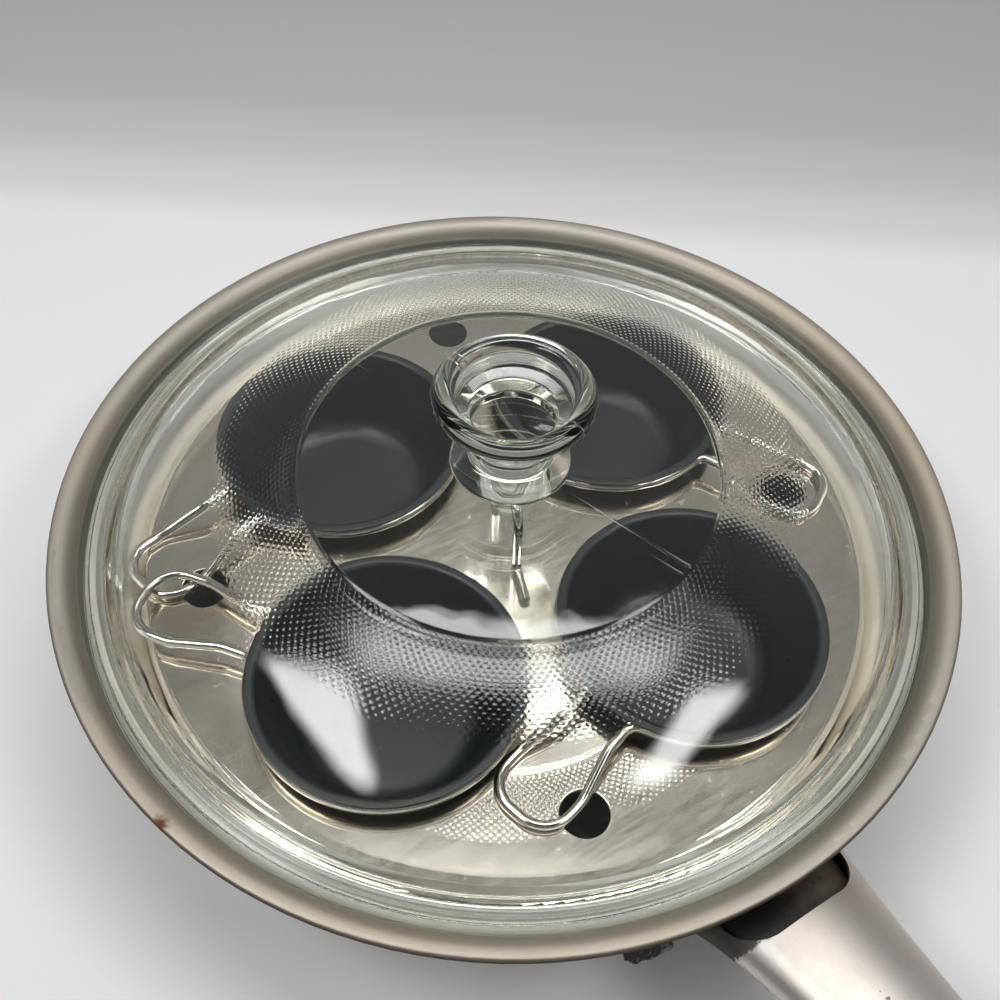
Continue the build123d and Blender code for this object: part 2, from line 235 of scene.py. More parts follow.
def rounded(points, radii, step=ARC_STEP):
    """Points of a 2-D path with an arc of its own radius at each inner corner."""
    out = [points[0]]
    for before, at, after, radius in zip(points, points[1:], points[2:], radii):
        p, c, n = Vector(before), Vector(at), Vector(after)
        into, onward = (p - c).normalized(), (n - c).normalized()
        turn = pi - acos(max(-1.0, min(1.0, into.dot(onward))))
        if radius <= 0 or turn < radians(0.5):
            out.append(at)
            continue
        reach = radius * tan(turn / 2)
        middle = c + (into + onward).normalized() * (radius / cos(turn / 2))
        start = c + into * reach - middle
        count = max(2, ceil(turn / step))
        side = 1 if start.x * onward.y - start.y * onward.x > 0 else -1
        for i in range(count + 1):
            a = side * turn * i / count
            x, y = start.x * cos(a) - start.y * sin(a), start.x * sin(a) + start.y * cos(a)
            out.append((middle.x + x, middle.y + y))
    out.append(points[-1])
    return out


def arc_through(first, middle, last, count):
    """Points of the circle arc through three points."""
    (ax, ay), (bx, by), (cx, cy) = first, middle, last
    d = 2 * (ax * (by - cy) + bx * (cy - ay) + cx * (ay - by))
    ux = ((ax**2 + ay**2) * (by - cy) + (bx**2 + by**2) * (cy - ay) + (cx**2 + cy**2) * (ay - by)) / d
    uy = ((ax**2 + ay**2) * (cx - bx) + (bx**2 + by**2) * (ax - cx) + (cx**2 + cy**2) * (bx - ax)) / d
    r = hypot(ax - ux, ay - uy)
    a, b = atan2(ay - uy, ax - ux), atan2(cy - uy, cx - ux)
    turns = [a + (b - a) * i / count for i in range(count + 1)]
    return [(ux + r * cos(t), uy + r * sin(t)) for t in turns]


def sheet_outline(path, thickness, cap_steps=5):
    """Outline of a bent sheet whose middle follows a path: out on one side, round its end, and back."""
    pts = [Vector(p) for p in path]
    tangents = []
    for i in range(len(pts)):
        tangents.append((pts[min(i + 1, len(pts) - 1)] - pts[max(i - 1, 0)]).normalized())
    half = thickness / 2
    sides = []
    for sign in (1, -1):
        sides.append([(p.x - sign * t.y * half, p.y + sign * t.x * half) for p, t in zip(pts, tangents)])
    end, way = pts[-1], tangents[-1]
    cap = []
    for i in range(1, cap_steps):
        a = pi / 2 - pi * i / cap_steps
        across, along = half * (cos(a) * way.x - sin(a) * way.y), half * (cos(a) * way.y + sin(a) * way.x)
        cap.append((end.x + across, end.y + along))
    return sides[0] + cap + sides[1][::-1]


def supported(points, reach=SUPPORT_REACH):
    """The same outline with a point close to each end of its long stretches, which keeps them flat."""
    out = [points[0]]
    for a, b in zip(points, points[1:]):
        length = hypot(b[0] - a[0], b[1] - a[1])
        if length > 3 * reach:
            for share in (reach / length, 1 - reach / length):
                out.append((a[0] + (b[0] - a[0]) * share, a[1] + (b[1] - a[1]) * share))
        out.append(b)
    return out


# Meshes

def finish_mesh(name, verts, faces, crease=CREASE):
    """A smooth mesh object with its sharp edges marked by angle."""
    mesh = bpy.data.meshes.new(name)
    mesh.from_pydata([tuple(v) for v in verts], [], [tuple(f) for f in faces])
    mesh.validate()
    mesh.shade_smooth()
    mesh.set_sharp_from_angle(angle=crease)
    obj = bpy.data.objects.new(name, mesh)
    bpy.context.scene.collection.objects.link(obj)
    return obj


def lathe(name, outline, segments, centre=(0.0, 0.0), lift=None, crease=CREASE):
    """Revolve an outline that runs from the axis back to the axis about Z, with heights added by lift."""
    ring_points = outline[1:-1]
    rings = len(ring_points)
    angles = np.arange(segments) * 2 * pi / segments
    r = np.array([p[0] for p in ring_points])[:, None]
    z = np.array([p[1] for p in ring_points])[:, None] + np.zeros((1, segments))
    if lift is not None:
        z = z + lift(r, angles[None, :], rings)
    x, y = centre[0] + r * np.cos(angles), centre[1] + r * np.sin(angles)
    verts = np.stack([x, y, z], axis=2).reshape(-1, 3).tolist()
    column = np.arange(segments)
    beside = (column + 1) % segments
    faces = []
    for i in range(rings - 1):
        this, below = i * segments, (i + 1) * segments
        faces += np.stack([this + column, below + column, below + beside, this + beside], axis=1).tolist()
    first, last = len(verts), len(verts) + 1
    verts += [(*centre, outline[0][1]), (*centre, outline[-1][1])]
    end = (rings - 1) * segments
    faces += [[first, int(a), int(b)] for a, b in zip(column, beside)]
    faces += [[last, end + int(b), end + int(a)] for a, b in zip(column, beside)]
    return finish_mesh(name, verts, faces, crease)


# Materials

class Nodes:
    """Short calls that make and link the nodes of one tree."""

    def __init__(self, tree):
        self.tree = tree

    def node(self, kind, inputs=None, **settings):
        """A new node with its settings and its inputs."""
        made = self.tree.nodes.new(kind)
        for key, value in settings.items():
            setattr(made, key, value)
        for key, value in (inputs or {}).items():
            self.put(made.inputs[key], value)
        return made

    def put(self, socket, value):
        """Link another socket to this one, or set its value."""
        if isinstance(value, bpy.types.NodeSocket):
            self.tree.links.new(value, socket)
        else:
            socket.default_value = value

    def math(self, kind, a, b=0.0, c=0.0):
        return self.node("ShaderNodeMath", {0: a, 1: b, 2: c}, operation=kind).outputs[0]

    def plus(self, a, b):
        return self.math("ADD", a, b)

    def less(self, a, b):
        return self.math("SUBTRACT", a, b)

    def times(self, a, b):
        return self.math("MULTIPLY", a, b)

    def remap(self, value, low, high, to_low=0.0, to_high=1.0, smooth=True):
        """A value carried from one range to another, and held at its ends."""
        kind = "SMOOTHSTEP" if smooth else "LINEAR"
        inputs = {"Value": value, "From Min": low, "From Max": high, "To Min": to_low, "To Max": to_high}
        return self.node("ShaderNodeMapRange", inputs, interpolation_type=kind).outputs[0]

    def band(self, value, start, full, fall, end):
        """1 between full and fall, and 0 before start and after end."""
        return self.times(self.remap(value, start, full), self.remap(value, fall, end, 1.0, 0.0))

    def ramp(self, value, stops):
        """Colour that eases from stop to stop, each with a place and a colour."""
        made = self.node("ShaderNodeValToRGB", {"Fac": value})
        made.color_ramp.interpolation = "EASE"
        elements = made.color_ramp.elements
        for index, (place, colour) in enumerate(stops):
            stop = elements[index] if index < 2 else elements.new(place)
            stop.position = place
            stop.color = (*colour, 1.0)
        return made.outputs["Color"]


class Paint(Nodes):
    """One node material: its nodes are made by short calls, and its numbers go straight on the shader."""

    def __init__(self, name, **shader_values):
        self.mat = bpy.data.materials.new(name)
        self.mat.use_nodes = True
        super().__init__(self.mat.node_tree)
        self.shader = self.tree.nodes["Principled BSDF"]
        self.output = self.tree.nodes["Material Output"]
        self.set(**shader_values)
        self.place = self.node("ShaderNodeTexCoord").outputs["Object"]

    def set(self, **inputs):
        """Link or set inputs of the main shader, by name."""
        for key, value in inputs.items():
            self.put(self.shader.inputs[key.replace("_", " ")], value)

    def blend(self, share, other):
        """Mix the main shader with another one."""
        both = self.node("ShaderNodeMixShader", {0: share, 1: self.shader.outputs[0], 2: other.outputs[0]})
        self.put(self.output.inputs["Surface"], both.outputs[0])

    def noise(self, scale, detail=3.0, rough=0.5, place=None, stretch=None, distort=0.0):
        """Noise of the place, or of another vector, stretched along the axes."""
        place = place or self.place
        if stretch is not None:
            place = self.node("ShaderNodeMapping", {"Vector": place, "Scale": stretch}).outputs[0]
        inputs = {"Vector": place, "Scale": scale, "Detail": detail, "Roughness": rough}
        inputs["Distortion"] = distort
        return self.node("ShaderNodeTexNoise", inputs).outputs["Fac"]

    def mix(self, share, a, b):
        """Colour a where share is 0, and b where it is 1."""
        made = self.node("ShaderNodeMix", data_type="RGBA")
        self.put(made.inputs[0], share)
        for index, colour in ((6, a), (7, b)):
            linked = isinstance(colour, bpy.types.NodeSocket)
            self.put(made.inputs[index], colour if linked else (*colour, 1.0))
        return made.outputs[2]

    def parts(self):
        """X, Y and Z of the place."""
        made = self.node("ShaderNodeSeparateXYZ", {0: self.place})
        return made.outputs[0], made.outputs[1], made.outputs[2]

    def radius(self):
        """Distance from the pan's axis."""
        x, y, _ = self.parts()
        return self.math("SQRT", self.plus(self.times(x, x), self.times(y, y)))

    def near(self, centre, radius, soft):
        """1 close to a place, falling to 0 at radius + soft, with its edge broken up."""
        away = self.node("ShaderNodeVectorMath", {0: self.place, 1: centre}, operation="DISTANCE")
        ragged = self.times(self.less(self.noise(900.0, detail=4.0), 0.5), soft)
        return self.remap(self.plus(away.outputs["Value"], ragged), radius, radius + soft, 1.0, 0.0)

    def round_lines(self, scale, detail=4.0):
        """Noise of the distance from the pan's axis and of the height, as turning leaves."""
        _, _, z = self.parts()
        made = self.node("ShaderNodeCombineXYZ", {0: self.radius(), 1: z})
        return self.noise(scale, detail, 0.6, place=made.outputs[0])

    def bump(self, height, distance, strength=1.0, under=None):
        """Normal of a relief, on top of another one."""
        inputs = {"Height": height, "Distance": distance, "Strength": strength}
        if under is not None:
            inputs["Normal"] = under
        return self.node("ShaderNodeBump", inputs).outputs[0]


def rim_marks_and_shade(p, colour, across, inside):
    """The pan's colour with painted shade in rings and on the bead's underside, and rust and a pit laid over
    it.
    """
    _, _, z = p.parts()
    # Painted shade: a dark ring on the ledge under the lid's flange
    colour = p.mix(p.times(p.band(across, *LEDGE_SHADE), 0.35), colour, (0.30, 0.28, 0.235))
    # Painted shade: the inner half of the rim's flare darkened to olive
    olive = p.times(p.remap(across, *OLIVE_SHADE_BAND, 0.42, 0.0), p.less(1.0, inside))
    colour = p.mix(olive, colour, (0.235, 0.22, 0.18))
    # Painted shadow: a dark line in the gap between the lid's edge and the rim
    colour = p.mix(p.times(p.band(across, *LID_GAP_SHADE), 0.7), colour, (0.07, 0.06, 0.05))
    # Painted shade: the underside of the bead darkened
    bead = p.times(p.remap(z, *BEAD_SHADE_Z, 1.0, 0.0), p.remap(across, *BEAD_SHADE_INNER))
    colour = p.mix(p.times(bead, 0.92), colour, (0.05, 0.036, 0.030))
    rust = p.near(RUST_SPOT, 0.0002, 0.0030)
    colour = p.mix(p.times(rust, 0.9), colour, (0.22, 0.075, 0.035))
    colour = p.mix(p.near(RIM_PIT, 0.0003, 0.0006), colour, (0.05, 0.035, 0.03))
    return colour, rust


def pan_steel():
    """Satin steel: polished inside, turned on the rim, with straw-coloured heat tint, fine wear and painted
    shade.
    """
    p = Paint("pan_steel_satin", Metallic=1.0)
    across = p.radius()
    lines = p.round_lines(1500.0)
    broad = p.round_lines(260.0, detail=3.0)
    cloud = p.noise(22.0, detail=4.0, rough=0.6)
    inside = p.remap(across, RIM_INNER, RIM_INNER + RIM_INNER_SOFT, 1.0, 0.0)
    straw = p.times(p.remap(p.noise(9.0, detail=2.0), 0.42, 0.68), 0.6)
    colour = p.mix(straw, (0.425, 0.39, 0.34), (0.47, 0.40, 0.295))
    colour = p.mix(inside, colour, (0.93, 0.915, 0.885))
    colour = p.mix(p.remap(broad, 0.38, 0.66, 0.0, 0.30), colour, (0.37, 0.35, 0.315))
    colour = p.mix(p.remap(cloud, 0.5, 0.75, 0.0, 0.2), colour, (0.46, 0.43, 0.385))
    colour, rust = rim_marks_and_shade(p, colour, across, inside)
    rough = p.remap(inside, 0.0, 1.0, RIM_ROUGHNESS, LEDGE_ROUGHNESS, smooth=False)
    rough = p.plus(rough, p.remap(lines, 0.25, 0.75, -0.03, 0.06))
    rough = p.plus(rough, p.remap(cloud, 0.45, 0.8, 0.0, 0.08))
    rough = p.plus(rough, p.times(rust, 0.3))
    normal = p.bump(lines, distance=0.000012, strength=0.5)
    normal = p.bump(broad, distance=0.00008, strength=0.5, under=normal)
    normal = p.bump(p.noise(700.0), distance=0.000008, strength=0.3, under=normal)
    p.set(Base_Color=colour, Roughness=rough, Normal=normal)
    return p.mat


def base_steel():
    """The base's cover: brushed steel with heat stain and scuffs."""
    p = Paint("base_steel_worn", Metallic=1.0)
    lines = p.round_lines(900.0)
    cloud = p.noise(18.0, detail=5.0, rough=0.65)
    colour = p.mix(p.remap(cloud, 0.38, 0.7, 0.0, 0.8), (0.60, 0.57, 0.52), (0.36, 0.29, 0.20))
    rough = p.remap(lines, 0.2, 0.8, 0.25, 0.45)
    p.set(Base_Color=colour, Roughness=rough, Normal=p.bump(lines, distance=0.00006, strength=0.6))
    return p.mat


def core_metal():
    """Dull aluminium of the hidden core."""
    p = Paint("core_aluminium_dull", Metallic=1.0)
    grain = p.noise(260.0, detail=4.0)
    colour = p.mix(grain, (0.70, 0.70, 0.71), (0.82, 0.82, 0.83))
    p.set(Base_Color=colour, Roughness=p.remap(grain, 0.3, 0.7, 0.4, 0.6))
    return p.mat


def handle_steel():
    """Satin handle: brushed along its length, heat-tinted and sooty near the pan, scratched and pitted."""
    p = Paint("handle_steel_satin", Metallic=1.0)
    x, y, _ = p.parts()
    brushed = p.noise(60.0, detail=6.0, rough=0.65, stretch=(1.2, 30.0, 30.0))
    scratch = p.noise(55.0, detail=2.0, rough=0.4, stretch=(0.6, 26.0, 6.0), distort=0.6)
    cloud = p.noise(28.0, detail=4.0, rough=0.6)
    patch = p.noise(60.0, rough=0.6, distort=0.5)
    heat = p.times(p.remap(x, *HEAT_X, 1.0, 0.15), p.remap(cloud, 0.3, 0.62))
    colour = p.mix(p.remap(brushed, 0.3, 0.7, 0.0, 0.25), (0.615, 0.59, 0.565), (0.50, 0.475, 0.45))
    colour = p.mix(p.times(heat, 0.45), colour, (0.52, 0.41, 0.315))
    colour = p.mix(p.remap(patch, 0.50, 0.68, 0.0, 0.35), colour, (0.60, 0.515, 0.46))
    grime = p.plus(x, p.times(p.noise(420.0, detail=4.0, rough=0.7), SOOT_RAGGED))
    soot = p.times(p.remap(grime, *SOOT_X, 1.0, 0.0), p.remap(y, *SOOT_Y, 1.0, 0.0))
    colour = p.mix(p.times(soot, 0.85), colour, (0.035, 0.028, 0.022))
    pits = p.remap(p.noise(330.0, detail=2.0), 0.745, 0.78)
    colour = p.mix(p.times(pits, 0.8), colour, (0.10, 0.08, 0.07))
    rough = p.plus(p.remap(brushed, 0.25, 0.75, 0.36, 0.44), p.remap(cloud, 0.5, 0.8, 0.0, 0.08))
    rough = p.plus(rough, p.times(soot, 0.3))
    normal = p.bump(brushed, distance=0.000016, strength=0.15)
    normal = p.bump(scratch, distance=0.00002, strength=0.15, under=normal)
    p.set(Base_Color=colour, Roughness=rough, Normal=normal)
    return p.mat


def stained_steel():
    """The bracket inside the handle's mouth: burnt-on stain, brown where it is thin, black with soot."""
    p = Paint("bracket_steel_burnt")
    x, y, _ = p.parts()
    soot = p.noise(240.0, detail=5.0, rough=0.7)
    grain = p.noise(150.0, detail=4.0, rough=0.7)
    side = p.remap(p.plus(y, p.times(grain, BARE_Y_RAGGED)), *BARE_Y)
    edge = p.remap(p.plus(x, p.times(soot, BARE_X_RAGGED)), *BARE_X)
    bare = p.times(side, p.less(1.0, p.times(edge, 0.75)))
    black = p.mix(soot, (0.004, 0.0035, 0.004), (0.022, 0.017, 0.014))
    brown = p.mix(grain, (0.10, 0.075, 0.055), (0.21, 0.175, 0.14))
    large, small = p.near(BRACKET_HOLES[0], 0.0009, 0.0008), p.near(BRACKET_HOLES[1], 0.0006, 0.0006)
    colour = p.mix(p.math("MAXIMUM", large, small), p.mix(bare, black, brown), (0.012, 0.006, 0.005))
    p.set(Base_Color=colour, Metallic=p.times(bare, 0.6), Roughness=p.remap(soot, 0.3, 0.7, 0.34, 0.62))
    p.set(Normal=p.bump(soot, distance=0.00022, strength=0.9))
    return p.mat


def residue():
    """Burnt residue: dark flakes with paler ash on top."""
    p = Paint("residue_burnt", Roughness=0.85, Specular_IOR_Level=0.3)
    flake = p.noise(420.0, detail=5.0, rough=0.7)
    ash = p.remap(p.noise(330.0, rough=0.6, distort=0.8), 0.50, 0.60)
    colour = p.mix(flake, (0.020, 0.017, 0.015), (0.075, 0.068, 0.060))
    colour = p.mix(p.times(ash, 0.85), colour, (0.21, 0.205, 0.20))
    p.set(Base_Color=colour, Normal=p.bump(flake, distance=0.0004, strength=0.8))
    return p.mat


def tray_steel():
    """Bright pressed tray: a soft sheen with a sharp one in it, ripples, rolling lines, marks and a stain."""
    p = Paint("tray_steel_bright", Metallic=1.0)
    ripple = p.noise(24.0, detail=2.0, rough=0.45)
    rolled = p.noise(90.0, detail=4.0, rough=0.6, stretch=(12.0, 1.0, 1.0))
    cloud = p.noise(34.0, detail=4.0, rough=0.55, distort=0.4)
    marks = p.remap(p.noise(300.0), 0.66, 0.74)
    stain = p.near(TRAY_STAIN, 0.004, 0.012)
    colour = p.mix(p.remap(cloud, 0.4, 0.75, 0.0, 0.35), (0.82, 0.765, 0.68), (0.60, 0.54, 0.46))
    colour = p.mix(p.times(stain, 0.45), colour, (0.60, 0.48, 0.24))
    rough = p.plus(p.remap(rolled, 0.3, 0.7, 0.15, 0.20), p.remap(cloud, 0.45, 0.8, 0.0, 0.06))
    rough = p.plus(rough, p.times(marks, 0.10))
    normal = p.bump(ripple, distance=0.0016, strength=0.14)
    normal = p.bump(rolled, distance=0.000008, strength=0.3, under=normal)
    p.set(Base_Color=colour, Roughness=rough, Normal=normal)
    sheen = {"Color": colour, "Normal": normal, "Roughness": p.remap(cloud, 0.4, 0.8, 0.03, 0.07)}
    share = p.remap(p.radius(), *TRAY_SHARP_RADII, *TRAY_SHARPNESS)
    p.blend(share, p.node("ShaderNodeBsdfAnisotropic", sheen))
    return p.mat


def wire_steel():
    """Bright drawn wire with faint straw tint, fine roughness and dull spots."""
    p = Paint("wire_steel_bright", Metallic=1.0)
    cloud = p.noise(70.0, detail=4.0, rough=0.6)
    fine = p.noise(700.0)
    colour = p.mix(p.remap(cloud, 0.4, 0.7, 0.0, 0.6), (0.72, 0.70, 0.665), (0.56, 0.50, 0.42))
    rough = p.plus(p.remap(cloud, 0.4, 0.75, 0.08, 0.2), p.remap(fine, 0.5, 0.8, 0.0, 0.12))
    p.set(Base_Color=colour, Roughness=rough, Normal=p.bump(fine, distance=0.00003, strength=0.5))
    return p.mat


def nonstick():
    """Blue-black non-stick coating: fine orange peel, flecks, a slight unevenness and small chips."""
    p = Paint("nonstick_coating", Specular_IOR_Level=0.5)
    cloud = p.noise(40.0, detail=4.0, rough=0.6)
    fleck = p.remap(p.noise(900.0, detail=2.0), 0.70, 0.76)
    chips = p.remap(p.noise(210.0, detail=2.0), 0.725, 0.75)
    colour = p.mix(cloud, (0.0042, 0.0064, 0.0085), (0.0095, 0.0128, 0.0155))
    colour = p.mix(p.times(fleck, 0.35), colour, (0.16, 0.17, 0.17))
    colour = p.mix(p.times(chips, 0.8), colour, (0.004, 0.004, 0.005))
    rough = p.plus(p.remap(cloud, 0.3, 0.7, 0.30, 0.42), p.times(chips, 0.3))
    normal = p.bump(p.noise(1500.0, detail=2.0), distance=0.00003, strength=0.5)
    normal = p.bump(p.noise(60.0), distance=0.0004, strength=0.15, under=normal)
    p.set(Base_Color=colour, Roughness=rough, Normal=normal)
    return p.mat


def lid_glass():
    """Clear pressed glass, olive where it is thick, that lets the lamps through to what is under it."""
    p = Paint("lid_glass_clear", Transmission_Weight=1.0, IOR=1.5, Specular_IOR_Level=0.5)
    smear = p.noise(45.0, detail=5.0, rough=0.6, distort=0.7)
    chip = p.near(GLASS_CHIP, 0.0010, 0.0010)
    colour = p.mix(chip, (0.978, 0.980, 0.974), (0.25, 0.22, 0.18))
    rough = p.plus(p.remap(smear, 0.55, 0.85, 0.0, 0.05), p.times(chip, 0.4))
    ripple = p.noise(38.0, detail=2.0)
    p.set(Base_Color=colour, Roughness=rough, Normal=p.bump(ripple, distance=0.0012, strength=0.12))
    shadow_ray = p.node("ShaderNodeLightPath").outputs["Is Shadow Ray"]
    p.blend(shadow_ray, p.node("ShaderNodeBsdfTransparent", {"Color": GLASS_SHADOW}))
    tint = p.node("ShaderNodeVolumeAbsorption", {"Color": GLASS_TINT, "Density": GLASS_DENSITY})
    p.put(p.output.inputs["Volume"], tint.outputs[0])
    return p.mat


def floor_paper():
    """Pale sweep with painted shade that darkens its far side."""
    p = Paint("floor_paper", Roughness=0.9, Specular_IOR_Level=0.1)
    x, y, _ = p.parts()
    away = p.plus(p.times(x, AWAY[0]), p.times(y, AWAY[1]))
    first, last = FLOOR_SHADE_TONES[0][0], FLOOR_SHADE_TONES[-1][0]
    stops = []
    for place, tone in FLOOR_SHADE_TONES:
        stops.append(((place - first) / (last - first), [tone * share for share in FLOOR_TINT]))
    # The tones paint shade: darker the further away from the camera
    p.set(Base_Color=p.ramp(p.remap(away, first, last, smooth=False), stops))
    return p.mat


def dress(obj, material):
    """Give an object one material."""
    obj.data.materials.clear()
    obj.data.materials.append(material)


# Pieces

def knob_outline():
    """The knob from the middle of its dish over the lip and down to its foot, and on to the disc's edge."""
    lip_z = KNOB_TOP_Z - KNOB_LIP
    corners = [
        (0.0, DISH_Z),
        (DISH_FLOOR, DISH_Z),
        (DISH_WALL, DISH_WALL_Z),
        (KNOB_RADIUS - 2 * KNOB_LIP, KNOB_TOP_Z),
        (KNOB_RADIUS, KNOB_TOP_Z),
        (KNOB_RADIUS, lip_z),
        (KNOB_WAIST, KNOB_WAIST_Z),
        (KNOB_WAIST, KNOB_FOOT_Z),
        (KNOB_FOOT, DISC_Z),
        (DISC_RADIUS, DISC_Z),
    ]
    return supported(rounded(corners, KNOB_ROUNDINGS))


def dome_outline():
    """The dome from the disc's edge out to its shoulder: finely where it is stippled, and then coarsely."""
    top, shoulder = (DISC_EDGE, DOME_TOP_Z), (SHOULDER_RADIUS, SHOULDER_Z)
    reach = hypot(SHOULDER_RADIUS - DISC_EDGE, DOME_TOP_Z - SHOULDER_Z)
    steps = round(reach / BUMP_ROW * SAMPLES_PER_BUMP)
    dome = arc_through(top, (STIPPLE_OUTER, STIPPLE_Z), shoulder, steps)
    band = [p for p in dome if p[0] <= STIPPLE_OUTER + BUMP_ROW]
    plain = dome[len(band):]
    return band, plain[:-1:PLAIN_DOME_STEP] + [plain[-1]]


def flange_outline(before):
    """The slope down to the flange, the flange's fine rings, and its edge round to the underside."""
    shoulder, under = (SHOULDER_RADIUS, SHOULDER_Z), (SHOULDER_RADIUS, SHOULDER_Z - LID_GLASS)
    outer_top = (LID_RADIUS, FLANGE_TOP_Z)
    slope = rounded([before, shoulder, (FLANGE_INNER, FLANGE_TOP_Z), outer_top], SLOPE_ROUNDINGS)
    first, last = slope[-2][0] + FLANGE_WAVE / 4, LID_RADIUS - FLANGE_PLAIN
    waves = []
    for i in range(RINGS_ON_FLANGE + 1):
        r = first + (last - first) * i / RINGS_ON_FLANGE
        waves.append((r, FLANGE_TOP_Z - FLANGE_WAVE_HEIGHT * (1 - cos(2 * pi * (r - first) / FLANGE_WAVE))))
    corners = [
        waves[-1],
        outer_top,
        (LID_RADIUS, LEDGE_Z),
        (SKIRT_OUTER, LEDGE_Z),
        (SKIRT_OUTER, SKIRT_Z),
        (SKIRT_INNER, SKIRT_Z),
        (SKIRT_INNER, LEDGE_Z),
        under,
    ]
    edge = rounded(corners, EDGE_ROUNDINGS)
    return supported(slope[:-1]) + waves[:-1] + supported(edge[:-1])


def underside_outline():
    """The dome's underside from the shoulder in to the axis."""
    under = arc_through((SHOULDER_RADIUS, SHOULDER_Z - LID_GLASS), (STIPPLE_OUTER, STIPPLE_Z - LID_GLASS),
                        (DISC_EDGE, DOME_TOP_Z - LID_GLASS), UNDER_STEPS)
    disc = [(r, DISC_Z - LID_GLASS) for r in (DISC_RADIUS, DISC_RADIUS / 2, 0.0)]
    return under[:-1] + supported(under[-1:] + disc)


def lid_outline():
    """Outline of the lid from the top of the axis round to its underside, and where the stipple is in it."""
    knob = knob_outline()
    band, plain = dome_outline()
    rest = plain[:-2] + flange_outline(plain[-2]) + underside_outline()
    return knob + band + rest, len(knob), len(band)


def lid_lift(first, count):
    """Heights added to the lid's rings: the stipple on its band, and the seam on the disc and the knob."""
    def lift(r, angles, rings):
        out = np.zeros((rings, angles.shape[1]))
        rows = np.arange(rings)[:, None]
        in_band = (rows >= first) & (rows < first + count)
        row = (r - DISC_EDGE - BUMP_ROW * STIPPLE_START_ROWS) / BUMP_ROW
        fade = np.clip((STIPPLE_OUTER - r) / (STIPPLE_FADE_ROWS * BUMP_ROW) + STIPPLE_FADE_SHIFT, 0, 1)
        for k in (np.floor(row), np.floor(row) + 1):
            across = (angles * BUMPS_ROUND / (2 * pi) + 0.5 * (k % 2)) % 1.0
            across = np.minimum(across, 1 - across) * 2 * pi * r / BUMPS_ROUND
            along = (row - k) * BUMP_ROW
            share = np.clip(1 - (across**2 + along**2) / BUMP_RADIUS**2, 0, 1)
            out = np.maximum(out, BUMP_HEIGHT * share**BUMP_STEEPNESS * fade * (k >= 0) * in_band)
        on_disc = (rows < first) & (r > SEAM_DISC_FROM)
        on_lip = (rows < first * SEAM_LIP_RINGS) & (r > SEAM_LIP[0]) & (r < SEAM_LIP[1])
        for seam in (SEAM_ANGLE, SEAM_ANGLE + pi):
            gap = np.abs((angles - seam + pi) % (2 * pi) - pi) * r
            out = out + SEAM_HEIGHT * np.clip(1 - gap / SEAM_HALF_WIDTH, 0, 1) * (on_disc | on_lip)
        return out
    return lift


def make_lid(material):
    """The pressed lid in place of the plain one."""
    outline, first, count = lid_outline()
    segments = BUMPS_ROUND * SAMPLES_PER_BUMP
    lid = lathe("lid_pressed_glass", outline, segments, lift=lid_lift(first - 1, count), crease=LID_CREASE)
    dress(lid, material)
    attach(lid, "lid")
    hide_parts("lid")


def make_cup(number, name, material):
    """One coated cup with a rolled flange, in place of the plain one."""
    angle = FIRST_SPOKE + number * pi / 2
    centre = (CUP_CIRCLE * cos(angle), CUP_CIRCLE * sin(angle))
    half = CUP_SHEET / 2
    floor_z, flange_z = CUP_FLOOR_Z - half, CUP_FLANGE_Z - half
    corners = [
        (CUP_AXIS_GAP, floor_z),
        (CUP_FLOOR, floor_z),
        (CUP_MOUTH, flange_z),
        (CUP_FLANGE - half, flange_z),
    ]
    outline = sheet_outline(rounded(corners, [CUP_CORNER, CUP_MOUTH_BEND], step=CUP_ARC_STEP), CUP_SHEET)
    outline = supported([(0.0, CUP_FLOOR_Z)] + outline[1:-1] + [(0.0, CUP_FLOOR_Z - CUP_SHEET)])
    cup = lathe(f"egg_cup_{name}_coated", outline, CUP_SEGMENTS, centre)
    dress(cup, material)
    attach(cup, f"cup_{name}")
    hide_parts(f"egg_cup_{name}")


def residue_points():
    """Points of the flake's outer side and then of its inner side, each in columns from left to right."""
    chance = np.random.default_rng(RESIDUE_SEED)
    across, down = RESIDUE_CELLS
    first, last = RESIDUE_ANGLES
    steps = chance.uniform(0.0, 1.0, across + RESIDUE_SMOOTHING)
    walk = np.convolve(steps, np.ones(RESIDUE_SMOOTHING) / RESIDUE_SMOOTHING, "valid")
    rough = chance.uniform(-1.0, 1.0, (2, across + 1, down + 1))
    points = []
    for side in (0, 1):
        for i in range(across + 1):
            share = i / across
            ragged = RESIDUE_BY_CHANCE * walk[i] * (RESIDUE_SHRINK[0] - RESIDUE_SHRINK[1] * share)
            reach = RESIDUE_DROP * sin(pi * share) ** 0.5 * (RESIDUE_EVEN + ragged)
            for j in range(down + 1):
                swell = sin(pi * (j + 0.5) / (down + 1)) * sin(pi * share)
                thick = RESIDUE_SHEET * (0.5 + 0.5 * rough[side, i, j]) * swell
                angle = first + (last - first) * share + RESIDUE_JITTER * rough[0, i, j] * (j > 0)
                r = RESIDUE_RADIUS + RESIDUE_LEAN * (j / down) ** 0.7 + thick * (1 - 2 * side)
                points.append((r * cos(angle), r * sin(angle), RESIDUE_TOP_Z - reach * j / down))
    return points


